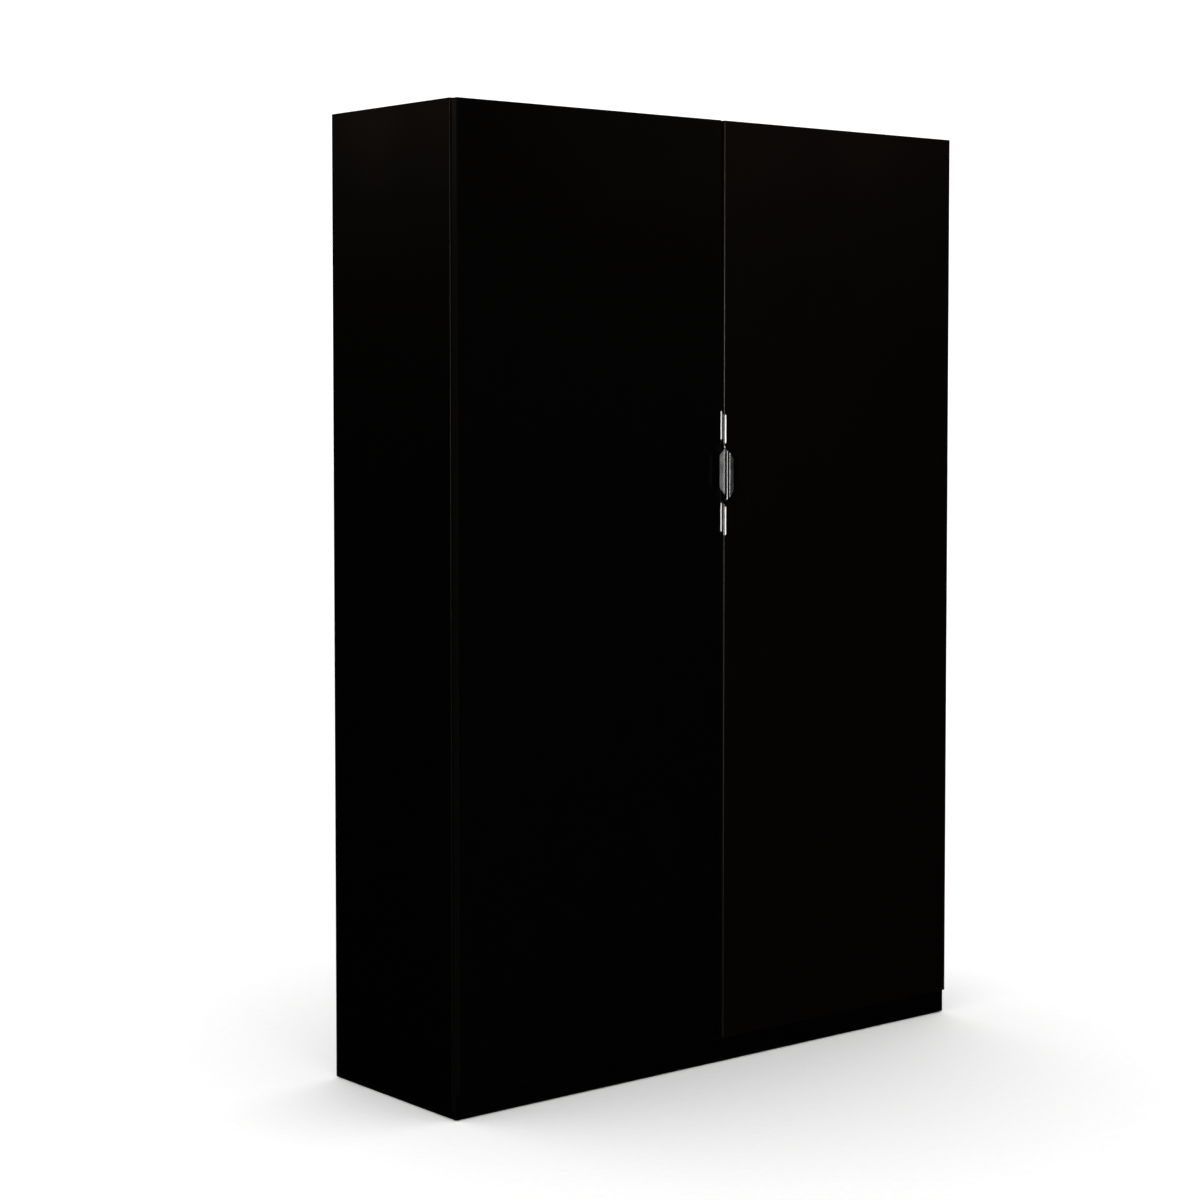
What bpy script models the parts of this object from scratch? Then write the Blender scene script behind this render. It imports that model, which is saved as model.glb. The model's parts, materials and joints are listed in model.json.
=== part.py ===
# Free-standing two-door wardrobe in black-brown melamine-faced board.
# Metres, +Z up. The doors face -Y. The origin is on the floor, under the middle of the
# wardrobe's own box, handles included.

import math

import bmesh
import bpy
from mathutils import Matrix, Vector

# ---------------------------------------------------------------- driving dimensions
# Carcass
WIDTH = 1.390                   # outer faces of the two side panels
HEIGHT = 2.000                  # floor to the top of the carcass
DEPTH = 0.430                   # back of the carcass to the front face of the doors
BOARD = 0.018                   # side, top, bottom and partition board
SHELF_BOARD = 0.018             # shelves
FRONT_PLINTH_BOARD = 0.012      # fixed to the front edges of the side panels
REAR_PLINTH_BOARD = 0.016       # between the side panels
BACK_BOARD = 0.004              # thin fibreboard back
PLINTH_HEIGHT = 0.051           # floor to the underside of the bottom panel
FLOOR_GAP = 0.002               # boards stop this far above the floor, the feet carry the load
BACK_SEAM = 0.002               # joint between the two back boards, behind the partition
PANEL_ARRIS = 0.0006            # eased edge on a board

# Doors
DOOR_THICKNESS = 0.018
DOOR_STANDOFF = 0.003           # back of a closed door to the carcass
MIDDLE_GAP = 0.009              # between the two doors
SIDE_REVEAL = 0.002             # outer edge of a door in from the side panel's face
TOP_REVEAL = 0.001              # top of a door below the top of the carcass
BOTTOM_REVEAL = 0.002           # bottom of a door above the underside of the bottom panel
DOOR_EDGE_RADIUS = 0.0012

# Edge handles: a strip on the door's edge with a bent grip tab in the middle
HANDLE_SHEET = 0.002
HANDLE_LENGTH = 0.254
HANDLE_FLANGE = 0.0035          # strip's front flange, over the door's face from its edge
HANDLE_BACK_MARGIN = 0.001      # strip's rear edge short of the door's back
HANDLE_REACH = 0.0127           # door's face to the middle of the sheet at the crown of the tab's bend
HANDLE_BEND_RADIUS = 0.005      # of the middle of the sheet
HANDLE_LIP = 0.0105             # flat of the tab past its bend
HANDLE_LIP_RETURN = math.radians(8)     # lip leans back towards the door
HANDLE_ROOT_LENGTH = 0.122      # tab's length along the strip
HANDLE_TIP_LENGTH = 0.070       # along the outer edge
HANDLE_RELIEF = 0.006           # between the tab and each flange
LEFT_HANDLE_HEIGHT = 1.263      # middle of the left handle above the floor
RIGHT_HANDLE_HEIGHT = 1.255
HANDLE_SCREW_INSET = 0.022      # from each end of the strip
SCREW_HEAD_DIAMETER = 0.0066
SCREW_SHANK_DIAMETER = 0.0035
SCREW_LENGTH = 0.025
SCREW_POINT = 0.003             # length of the screw's conical point

# Concealed cup hinges with a single pin: the neck of the arm reaches into the cup
HINGES_PER_DOOR = 4
HINGE_END_DISTANCE = 0.100      # end of the door to the middle of the outermost hinge
CUP_DIAMETER = 0.035
CUP_DEPTH = 0.013
CUP_WALL = 0.0012
CUP_EDGE_DISTANCE = 0.003       # door's edge to the rim of the cup
CUP_FLANGE_LENGTH = 0.062
CUP_FLANGE_WIDTH = 0.018
CUP_FLANGE_THICKNESS = 0.0010
PIN_DIAMETER = 0.0020
PIN_FROM_WALL = 0.0034          # middle of the pin from the cup's wall, and from its floor
EYE_WALL = 0.0010               # metal round the pin
NECK_THICKNESS = 0.003
NECK_BEND = 0.006               # radius to the middle of the neck
NECK_FROM_CUP_MIDDLE = 0.0055   # middle of the cup to the part of the neck that leaves it
ARM_THICKNESS = 0.007
ARM_HEIGHT = 0.010
ARM_BACK = 0.056                # carcass front edge to the rear end of the arm
ARM_SHOULDER = 0.004            # length of the slope from the neck to the full arm
ARM_TAIL_CHAMFER = 0.0018
PLATE_SETBACK = 0.037           # carcass front edge to the middle of the mounting plate
PLATE_RIDGE_LENGTH = 0.034
PLATE_RIDGE_HEIGHT = 0.016
PLATE_WING_LENGTH = 0.054
PLATE_WING_WIDTH = 0.014
PLATE_WING_THICKNESS = 0.0025

# Door bumpers, on the backs of the doors at their free corners
BUMPER_DIAMETER = 0.010
BUMPER_HEIGHT = 0.0020
BUMPER_FROM_EDGE = 0.030

# Inside
HAT_SPACE = 0.300               # clear height above the hat shelf
SHELF_COUNT = 4                 # in the right-hand bay
FIXED_SHELF = 2                 # counted from the bottom, this one is screwed in
SHELF_SETBACK = 0.010           # shelf edge behind the carcass front edge
SHELF_SIDE_GAP = 0.001          # each end of a loose shelf
RAIL_DIAMETER = 0.025
RAIL_WALL = 0.0012
RAIL_DROP = 0.055               # hat shelf's underside to the middle of the rail
RAIL_END_GAP = 0.020            # front and back of the bay to the brackets
BRACKET_SHEET = 0.003
BRACKET_WIDTH = 0.036
BRACKET_FLANGE = 0.030
SPIGOT_LENGTH = 0.012

# Levelling feet
FOOT_BASE_DIAMETER = 0.044
FOOT_BASE_HEIGHT = 0.006
FOOT_EDGE = 0.002               # slope round the base and round the stem
FOOT_STEM_DIAMETER = 0.014
FOOT_TOP_DIAMETER = 0.050
FOOT_TOP_HEIGHT = 0.004
FOOT_SIDE_INSET = 0.040         # inner face of a side panel to the middle of a foot
FOOT_END_INSET = 0.050          # carcass front edge, or rear plinth, to the middle of a foot

# Fits
CONTACT = 0.0003                # between pieces that touch
BORE_CLEARANCE = 0.0003         # around and under what sits in a bored hole
RUNNING_CLEARANCE = 0.0003      # around a pin that something turns on
CUT_OVERRUN = 0.002             # a cutting tool past the face that it cuts

# ---------------------------------------------------------------- derived places
handle_projection = HANDLE_REACH + HANDLE_SHEET / 2

half_width = WIDTH / 2
back_y = (DEPTH + handle_projection) / 2
door_front_y = back_y - DEPTH
door_back_y = door_front_y + DOOR_THICKNESS
carcass_front_y = door_back_y + DOOR_STANDOFF
back_board_y = back_y - BACK_BOARD
inner_back_y = back_board_y - CONTACT       # rear edge of all that the back boards cover

side_inner_x = half_width - BOARD
partition_x = BOARD / 2
bay_middle_x = (side_inner_x + partition_x) / 2

bottom_top_z = PLINTH_HEIGHT + BOARD
top_under_z = HEIGHT - BOARD
hat_shelf_top_z = top_under_z - HAT_SPACE
hat_shelf_under_z = hat_shelf_top_z - SHELF_BOARD

door_bottom_z = PLINTH_HEIGHT + BOTTOM_REVEAL
door_top_z = HEIGHT - TOP_REVEAL
door_outer_x = half_width - SIDE_REVEAL
door_inner_x = MIDDLE_GAP / 2

# Hinge, measured in from the outer edge of the door and down from its back face
cup_from_edge = CUP_EDGE_DISTANCE + CUP_DIAMETER / 2
cup_inner_radius = CUP_DIAMETER / 2 - CUP_WALL
pin_from_edge = CUP_EDGE_DISTANCE + CUP_WALL + PIN_FROM_WALL
pin_depth = CUP_DEPTH - CUP_WALL - PIN_FROM_WALL
pin_from_cup_middle = cup_from_edge - pin_from_edge
neck_run = pin_from_cup_middle + NECK_FROM_CUP_MIDDLE       # pin to the rising part of the neck
arm_near_side = neck_run - NECK_THICKNESS / 2               # pin to the arm's face by the panel
hinge_x = door_outer_x - pin_from_edge
hinge_y = door_back_y - pin_depth
plate_rise = side_inner_x - (hinge_x - arm_near_side) - 2 * CONTACT


# ---------------------------------------------------------------- scene helpers
def empty_scene():
    for old in list(bpy.data.objects):
        bpy.data.objects.remove(old)


def new_collection(name):
    collection = bpy.data.collections.new(name)
    bpy.context.scene.collection.children.link(collection)
    return collection


def make_material(name, colour, roughness, metallic=0.0):
    material = bpy.data.materials.new(name)
    material.use_nodes = True
    shader = material.node_tree.nodes["Principled BSDF"]
    shader.inputs["Base Color"].default_value = (*colour, 1.0)
    shader.inputs["Roughness"].default_value = roughness
    shader.inputs["Metallic"].default_value = metallic
    return material


def add_object(name, mesh, material, location, parent=None):
    """Put a mesh in the wardrobe, at a place given in world coordinates."""
    if material is not None and not mesh.materials:
        mesh.materials.append(material)
    obj = bpy.data.objects.new(name, mesh)
    parts.objects.link(obj)
    obj.location = Vector(location)
    if parent is not None:
        obj.parent = parent
        obj.location -= parent.location
    return obj


def make_cutter(name, mesh, location):
    obj = bpy.data.objects.new(name, mesh)
    cutters.objects.link(obj)
    obj.location = location
    obj.hide_render = True
    obj.display_type = "WIRE"
    return obj


def box_mesh(name, size):
    bm = bmesh.new()
    bmesh.ops.create_cube(bm, size=1.0)
    bmesh.ops.scale(bm, vec=Vector(size), verts=bm.verts)
    mesh = bpy.data.meshes.new(name)
    bm.to_mesh(mesh)
    bm.free()
    return mesh


def cylinder_mesh(name, diameter, length, segments=32):
    """A closed cylinder about local Z, centred on its origin."""
    bm = bmesh.new()
    radius = diameter / 2
    bmesh.ops.create_cone(
        bm, cap_ends=True, segments=segments, radius1=radius, radius2=radius, depth=length)
    mesh = bpy.data.meshes.new(name)
    bm.to_mesh(mesh)
    bm.free()
    return mesh


def profile_mesh(name, points, closed=False):
    """An outline in local XZ, given from the top down its outer side, ready to be turned."""
    bm = bmesh.new()
    verts = [bm.verts.new((x, 0.0, z)) for x, z in points]
    for first, second in zip(verts, verts[1:]):
        bm.edges.new((first, second))
    if closed:
        bm.edges.new((verts[-1], verts[0]))
    mesh = bpy.data.meshes.new(name)
    bm.to_mesh(mesh)
    bm.free()
    return mesh


def add_bevel(obj, width, segments):
    bevel = obj.modifiers.new("eased edges", "BEVEL")
    bevel.width = width
    bevel.segments = segments
    bevel.limit_method = "ANGLE"
    bevel.angle_limit = math.radians(40)


def add_screw(obj, steps):
    screw = obj.modifiers.new("turned", "SCREW")
    screw.axis = "Z"
    screw.angle = 2 * math.pi
    screw.steps = steps
    screw.render_steps = steps
    screw.use_merge_vertices = True
    screw.merge_threshold = 0.00001


def add_boolean(obj, cutter, operation):
    boolean = obj.modifiers.new(operation.lower(), "BOOLEAN")
    boolean.operation = operation
    boolean.object = cutter


def baked_mesh(obj):
    """The object's mesh with its modifiers applied; the object itself is removed."""
    bpy.context.view_layer.update()
    evaluated = obj.evaluated_get(bpy.context.evaluated_depsgraph_get())
    mesh = bpy.data.meshes.new_from_object(evaluated)
    mesh.name = obj.name
    bpy.data.objects.remove(obj)
    return mesh


def turned_mesh(name, points, steps, closed=False):
    obj = bpy.data.objects.new(name, profile_mesh(name, points, closed))
    parts.objects.link(obj)
    add_screw(obj, steps)
    mesh = baked_mesh(obj)
    mesh.shade_smooth()
    mesh.set_sharp_from_angle(angle=math.radians(35))
    return mesh


def outline_mesh(name, points, thickness):
    """A flat outline in local XY, extruded to both sides of its plane."""
    curve = bpy.data.curves.new(name, "CURVE")
    curve.dimensions = "2D"
    curve.fill_mode = "BOTH"
    curve.extrude = thickness / 2
    spline = curve.splines.new("POLY")
    spline.points.add(len(points) - 1)
    for point, (x, y) in zip(spline.points, points):
        point.co = (x, y, 0.0, 1.0)
    spline.use_cyclic_u = True
    obj = bpy.data.objects.new(name, curve)
    parts.objects.link(obj)
    mesh = baked_mesh(obj)
    bm = bmesh.new()
    bm.from_mesh(mesh)
    bmesh.ops.remove_doubles(bm, verts=bm.verts, dist=0.00001)
    bmesh.ops.recalc_face_normals(bm, faces=bm.faces)
    bm.to_mesh(mesh)
    bm.free()
    return mesh


def moved(mesh, offset):
    mesh.transform(Matrix.Translation(Vector(offset)))
    return mesh


def combined_mesh(name, base, added=(), removed=()):
    """The base mesh joined with the added ones, less the removed ones."""
    obj = bpy.data.objects.new(name, base)
    parts.objects.link(obj)
    tools = []
    for operation, meshes in (("UNION", added), ("DIFFERENCE", removed)):
        for mesh in meshes:
            tool = make_cutter(f"{name}_{operation.lower()}", mesh, (0, 0, 0))
            add_boolean(obj, tool, operation)
            tools.append(tool)
    result = baked_mesh(obj)
    for tool in tools:
        bpy.data.objects.remove(tool)
    return result


def arc(centre, radius, start_degrees, end_degrees, steps):
    """Points along an arc, both ends included."""
    points = []
    for step in range(steps + 1):
        angle = math.radians(start_degrees + (end_degrees - start_degrees) * step / steps)
        points.append((centre[0] + radius * math.cos(angle), centre[1] + radius * math.sin(angle)))
    return points


def stadium(length, width, steps=10):
    """A slot outline, long in Y, with half-round ends."""
    straight = (length - width) / 2
    return arc((0, straight), width / 2, 0, 180, steps) + arc((0, -straight), width / 2, 180, 360, steps)


def board(name, low, high, material, arris=PANEL_ARRIS, segments=1):
    """A flat board between two corners."""
    low = Vector(low)
    high = Vector(high)
    obj = add_object(name, box_mesh(name, high - low), material, (low + high) / 2)
    if arris:
        add_bevel(obj, arris, segments)
    return obj


# ---------------------------------------------------------------- carcass
def build_side_panels():
    for side, sign in (("left", -1), ("right", 1)):
        xs = sorted((sign * half_width, sign * side_inner_x))
        low = (xs[0], carcass_front_y, FLOOR_GAP)
        board(f"{side}_side_panel", low, (xs[1], back_y, HEIGHT), board_black)


def build_top_and_bottom():
    span = side_inner_x - CONTACT
    for name, low_z, high_z in (
        ("top_panel", top_under_z, HEIGHT),
        ("bottom_panel", PLINTH_HEIGHT, bottom_top_z),
    ):
        board(name, (-span, carcass_front_y, low_z), (span, inner_back_y, high_z), board_black)


def build_partition():
    low = (-partition_x, carcass_front_y, bottom_top_z + CONTACT)
    high = (partition_x, inner_back_y, top_under_z - CONTACT)
    board("centre_partition", low, high, board_black)


def build_back_boards():
    for side, sign in (("left", -1), ("right", 1)):
        xs = sorted((sign * BACK_SEAM / 2, sign * (side_inner_x - CONTACT)))
        low = (xs[0], back_board_y, PLINTH_HEIGHT)
        board(f"{side}_back_board", low, (xs[1], back_y, HEIGHT), back_black, arris=0)


def build_plinths():
    top = PLINTH_HEIGHT - CONTACT
    behind = carcass_front_y - CONTACT
    low = (-half_width, behind - FRONT_PLINTH_BOARD, FLOOR_GAP)
    board("front_plinth", low, (half_width, behind, top), board_black)
    span = side_inner_x - CONTACT
    rear = inner_back_y - REAR_PLINTH_BOARD
    board("rear_plinth", (-span, rear, FLOOR_GAP), (span, inner_back_y, top), board_black)


def build_shelves():
    front = carcass_front_y + SHELF_SETBACK
    back = inner_back_y - CONTACT
    low = (-side_inner_x + CONTACT, front, hat_shelf_under_z)
    high = (-partition_x - CONTACT, back, hat_shelf_top_z)
    board("hat_shelf", low, high, board_black)
    pitch = (top_under_z - bottom_top_z + SHELF_BOARD) / (SHELF_COUNT + 1)
    for number in range(1, SHELF_COUNT + 1):
        side_gap = CONTACT if number == FIXED_SHELF else SHELF_SIDE_GAP
        top = bottom_top_z + number * pitch
        low = (partition_x + side_gap, front, top - SHELF_BOARD)
        high = (side_inner_x - side_gap, back, top)
        board(f"right_shelf_{number}", low, high, board_black)


# ---------------------------------------------------------------- hanging rail
def bracket_mesh():
    """A drop plate with a round lower end, a flange on top and a spigot for the tube towards +Y."""
    radius = BRACKET_WIDTH / 2
    top = RAIL_DROP - CONTACT
    outline = [(radius, top), (-radius, top)] + arc((0, 0), radius, 180, 360, 16)
    plate = outline_mesh("rail_bracket", outline, BRACKET_SHEET)
    plate.transform(Matrix.Rotation(math.pi / 2, 4, "X"))
    flange = box_mesh("flange", (BRACKET_WIDTH, BRACKET_FLANGE, BRACKET_SHEET))
    moved(flange, (0, BRACKET_FLANGE / 2 - BRACKET_SHEET / 2, top - BRACKET_SHEET / 2))
    spigot_diameter = RAIL_DIAMETER - 2 * RAIL_WALL - 2 * CONTACT
    spigot = cylinder_mesh("spigot", spigot_diameter, SPIGOT_LENGTH + BRACKET_SHEET / 2)
    spigot.transform(Matrix.Rotation(math.pi / 2, 4, "X"))
    moved(spigot, (0, (SPIGOT_LENGTH + BRACKET_SHEET / 2) / 2, 0))
    return combined_mesh("rail_bracket", plate, added=(flange, spigot))


def build_hanging_rail():
    """The rail runs front to back, because the wardrobe is shallower than a hanger is wide."""
    rail_z = hat_shelf_under_z - RAIL_DROP
    front = carcass_front_y + SHELF_SETBACK + RAIL_END_GAP + BRACKET_SHEET / 2
    back = inner_back_y - RAIL_END_GAP - BRACKET_SHEET / 2
    mesh = bracket_mesh()
    add_object("front_rail_bracket", mesh, chrome, (-bay_middle_x, front, rail_z))
    rear = add_object("rear_rail_bracket", mesh, chrome, (-bay_middle_x, back, rail_z))
    rear.rotation_euler.z = math.pi
    length = back - front - BRACKET_SHEET - 2 * CONTACT
    outer = RAIL_DIAMETER / 2
    inner = outer - RAIL_WALL
    points = [(outer, length / 2), (outer, -length / 2), (inner, -length / 2), (inner, length / 2)]
    tube = turned_mesh("hanging_rail", points, 32, closed=True)
    rail = add_object("hanging_rail", tube, chrome, (-bay_middle_x, (front + back) / 2, rail_z))
    rail.rotation_euler.x = math.pi / 2


# ---------------------------------------------------------------- levelling feet
def build_feet():
    top = PLINTH_HEIGHT - CONTACT
    base = FOOT_BASE_DIAMETER / 2
    stem = FOOT_STEM_DIAMETER / 2
    cap = FOOT_TOP_DIAMETER / 2
    points = [
        (0, top), (cap, top), (cap, top - FOOT_TOP_HEIGHT), (stem, top - FOOT_TOP_HEIGHT),
        (stem, FOOT_BASE_HEIGHT + FOOT_EDGE), (base - FOOT_EDGE, FOOT_BASE_HEIGHT),
        (base, FOOT_BASE_HEIGHT - FOOT_EDGE), (base, 0), (0, 0),
    ]
    mesh = turned_mesh("levelling_foot", points, 24)
    front = carcass_front_y + FOOT_END_INSET
    rear = inner_back_y - REAR_PLINTH_BOARD - FOOT_END_INSET
    outer = side_inner_x - FOOT_SIDE_INSET
    for column, x in (("left", -outer), ("middle", 0.0), ("right", outer)):
        for row, y in (("front", front), ("rear", rear)):
            add_object(f"{row}_{column}_foot", mesh, foot_plastic, (x, y, 0))


# ---------------------------------------------------------------- hinges
def hinge_heights():
    lowest = door_bottom_z + HINGE_END_DISTANCE
    highest = door_top_z - HINGE_END_DISTANCE
    step = (highest - lowest) / (HINGES_PER_DOOR - 1)
    return [lowest + number * step for number in range(HINGES_PER_DOOR)]


def cup_mesh(sign):
    """A cup with a flange and its pin, opening along +Y; the back face of the door is at Y = 0."""
    flange_top = CONTACT + CUP_FLANGE_THICKNESS
    outline = stadium(CUP_FLANGE_LENGTH, CUP_FLANGE_WIDTH)
    flange = outline_mesh("hinge_cup", outline, CUP_FLANGE_THICKNESS)
    moved(flange, (0, 0, flange_top - CUP_FLANGE_THICKNESS / 2))
    outer = cylinder_mesh("cup_outside", CUP_DIAMETER, CUP_DEPTH + flange_top)
    moved(outer, (0, 0, (flange_top - CUP_DEPTH) / 2))
    hollow_depth = CUP_DEPTH - CUP_WALL + flange_top + CUT_OVERRUN
    hollow = cylinder_mesh("cup_inside", CUP_DIAMETER - 2 * CUP_WALL, hollow_depth)
    moved(hollow, (0, 0, flange_top + CUT_OVERRUN - hollow_depth / 2))
    shell = combined_mesh("hinge_cup", flange, added=(outer,), removed=(hollow,))
    half_span = math.sqrt(cup_inner_radius ** 2 - pin_from_cup_middle ** 2)
    pin = cylinder_mesh("hinge_pin", PIN_DIAMETER, 2 * half_span + CUP_WALL / 2, 16)
    pin.transform(Matrix.Rotation(math.pi / 2, 4, "X"))
    moved(pin, (sign * pin_from_cup_middle, 0, -pin_depth))
    mesh = combined_mesh("hinge_cup", shell, added=(pin,))
    mesh.transform(Matrix.Rotation(-math.pi / 2, 4, "X"))
    return mesh


def arm_mesh(sign):
    """An arm with a bent neck that ends in an eye; the pin it turns on is the Z axis."""
    half = NECK_THICKNESS / 2
    eye_inside = PIN_DIAMETER / 2 + RUNNING_CLEARANCE
    eye_outside = eye_inside + EYE_WALL
    eye_cut = math.degrees(math.asin(half / eye_outside))
    bend = (neck_run - NECK_BEND, NECK_BEND)
    far_side = arm_near_side + ARM_THICKNESS
    shoulder = pin_depth + DOOR_STANDOFF + ARM_SHOULDER
    tail = pin_depth + DOOR_STANDOFF + ARM_BACK
    points = arc((0, 0), eye_outside, eye_cut, 360 - eye_cut, 16)
    points += arc(bend, NECK_BEND + half, -90, 0, 8)
    points += [
        (neck_run + half, shoulder), (far_side, shoulder + ARM_SHOULDER),
        (far_side, tail - ARM_TAIL_CHAMFER), (far_side - ARM_TAIL_CHAMFER, tail),
        (arm_near_side + ARM_TAIL_CHAMFER, tail), (arm_near_side, tail - ARM_TAIL_CHAMFER),
    ]
    points += arc(bend, NECK_BEND - half, 0, -90, 8)
    outline = [(-sign * x, y) for x, y in points]
    bar = outline_mesh("hinge_arm", outline, ARM_HEIGHT)
    eye = cylinder_mesh("eye", 2 * eye_inside, ARM_HEIGHT + CUT_OVERRUN, 16)
    return combined_mesh("hinge_arm", bar, removed=(eye,))


def plate_mesh():
    """A ridge along Y on a low foot that is long in Z, standing on X = 0 and rising towards +X."""
    ridge = box_mesh("mounting_plate", (plate_rise, PLATE_RIDGE_LENGTH, PLATE_RIDGE_HEIGHT))
    moved(ridge, (plate_rise / 2, 0, 0))
    wing = outline_mesh("wing", stadium(PLATE_WING_LENGTH, PLATE_WING_WIDTH), PLATE_WING_THICKNESS)
    wing.transform(Matrix.Rotation(math.pi / 2, 4, "X"))
    wing.transform(Matrix.Rotation(math.pi / 2, 4, "Z"))
    moved(wing, (PLATE_WING_THICKNESS / 2, 0, 0))
    return combined_mesh("mounting_plate", ridge, added=(wing,))


def build_hinges(side, sign, axis):
    names = zip(("lowest", "lower", "upper", "highest"), hinge_heights())
    hinge_cup = cup_mesh(sign)
    hinge_arm = arm_mesh(sign)
    cup_x = sign * (door_outer_x - cup_from_edge)
    plate_x = sign * (side_inner_x - CONTACT)
    for place, z in names:
        add_object(f"{side}_{place}_hinge_cup", hinge_cup, nickel, (cup_x, door_back_y, z), axis)
        add_object(f"{side}_{place}_hinge_arm", hinge_arm, nickel, (sign * hinge_x, hinge_y, z))
        plate_place = (plate_x, carcass_front_y + PLATE_SETBACK, z)
        plate = add_object(f"{side}_{place}_hinge_plate", mounting_plate, nickel, plate_place)
        plate.rotation_euler.z = math.pi if sign > 0 else 0.0


# ---------------------------------------------------------------- doors and handles
def screw_points(clearance=0.0, above=0.0):
    """Outline of a countersunk screw with its head at the top; a hole is the same with clearance."""
    head = SCREW_HEAD_DIAMETER / 2 + clearance
    shank = SCREW_SHANK_DIAMETER / 2 + clearance
    head_height = HANDLE_SHEET - CONTACT
    tip = -SCREW_LENGTH - clearance
    points = [(0, above), (head, above)]
    if above:
        points.append((head, 0))
    return points + [(shank, -head_height), (shank, tip + SCREW_POINT), (0, tip)]


def screw_heights(handle_height):
    reach = HANDLE_LENGTH / 2 - HANDLE_SCREW_INSET
    return (handle_height - reach, handle_height + reach)


def along_x(mesh, sign):
    """Turn a mesh whose top is at +Z so that its top faces the gap between the doors."""
    mesh.transform(Matrix.Rotation(-sign * math.pi / 2, 4, "Y"))
    return mesh


def tab_profile():
    """Middle of the tab's sheet after its straight root: (across from the strip, out from the door)."""
    start = HANDLE_REACH - HANDLE_BEND_RADIUS * math.cos(HANDLE_LIP_RETURN)
    crown = math.pi / 2 - HANDLE_LIP_RETURN
    turns = [crown * step / 3 for step in range(4)] + [crown + 2 * HANDLE_LIP_RETURN]
    points = [
        (HANDLE_BEND_RADIUS * (1 - math.cos(turn)), start + HANDLE_BEND_RADIUS * math.sin(turn))
        for turn in turns
    ]
    across, out = points[-1]
    lip = (HANDLE_LIP * math.cos(HANDLE_LIP_RETURN), HANDLE_LIP * math.sin(HANDLE_LIP_RETURN))
    return points + [(across + lip[0], out - lip[1])]


def handle_sheet(sign):
    """The middle surface of the handle, about the door's front edge at the handle's middle height."""
    sheet_x = -sign * (CONTACT + HANDLE_SHEET / 2)
    front_y = -(CONTACT + HANDLE_SHEET / 2)
    strip_back = DOOR_THICKNESS - HANDLE_BACK_MARGIN
    root = HANDLE_ROOT_LENGTH / 2
    heights = (-HANDLE_LENGTH / 2, -root - HANDLE_RELIEF, -root, root, root + HANDLE_RELIEF, HANDLE_LENGTH / 2)
    bm = bmesh.new()
    bmesh.ops.create_grid(bm, x_segments=5, y_segments=1, size=0.5)
    for vert in bm.verts:
        column = round((vert.co.x + 0.5) * 5)
        vert.co = (sheet_x, strip_back if vert.co.y > 0 else front_y, heights[column])
    front_edges = [edge for edge in bm.edges if all(vert.co.y < 0 for vert in edge.verts)]
    flange_edges = [
        edge for edge in front_edges
        if all(abs(vert.co.z) > root + HANDLE_RELIEF / 2 for vert in edge.verts)
    ]
    edge = next(
        edge for edge in front_edges
        if abs(edge.verts[0].co.z + edge.verts[1].co.z) < 0.0001
    )
    for flange_edge in flange_edges:
        grown = bmesh.ops.extrude_edge_only(bm, edges=[flange_edge])["geom"]
        for vert in (item for item in grown if isinstance(item, bmesh.types.BMVert)):
            vert.co.x = sign * HANDLE_FLANGE
    profile = [(0, -front_y)] + tab_profile()
    steps = [math.dist(here, there) for here, there in zip(profile, profile[1:])]
    travelled = 0
    for step, (across, out) in zip(steps, profile[1:]):
        travelled += step
        length = HANDLE_ROOT_LENGTH + (HANDLE_TIP_LENGTH - HANDLE_ROOT_LENGTH) * travelled / sum(steps)
        grown = bmesh.ops.extrude_edge_only(bm, edges=[edge])["geom"]
        for vert in (item for item in grown if isinstance(item, bmesh.types.BMVert)):
            vert.co = (sheet_x + sign * across, -out, math.copysign(length / 2, vert.co.z))
        edge = next(item for item in grown if isinstance(item, bmesh.types.BMEdge))
    bmesh.ops.recalc_face_normals(bm, faces=bm.faces)
    mesh = bpy.data.meshes.new("edge_handle")
    bm.to_mesh(mesh)
    bm.free()
    return mesh


def build_handle(side, sign, axis, height):
    name = f"{side}_handle"
    place = Vector((sign * door_inner_x, door_front_y, height))
    handle = add_object(name, handle_sheet(sign), satin_aluminium, place, axis)
    solidify = handle.modifiers.new("sheet", "SOLIDIFY")
    solidify.thickness = HANDLE_SHEET
    solidify.offset = 0.0
    solidify.solidify_mode = "NON_MANIFOLD"
    solidify.nonmanifold_thickness_mode = "CONSTRAINTS"
    head_x = sign * (door_inner_x - HANDLE_SHEET)
    screw_y = door_front_y + DOOR_THICKNESS / 2
    for place_name, z in zip(("lower", "upper"), screw_heights(height)):
        hole = along_x(turned_mesh("screw_hole", screw_points(CONTACT, CUT_OVERRUN), 16), sign)
        sink = make_cutter(f"{side}_{place_name}_sink", hole, (head_x, screw_y, z))
        add_boolean(handle, sink, "DIFFERENCE")
        screw = along_x(turned_mesh("handle_screw", screw_points(), 16), sign)
        add_object(f"{side}_{place_name}_handle_screw", screw, nickel, (head_x, screw_y, z), axis)


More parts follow.
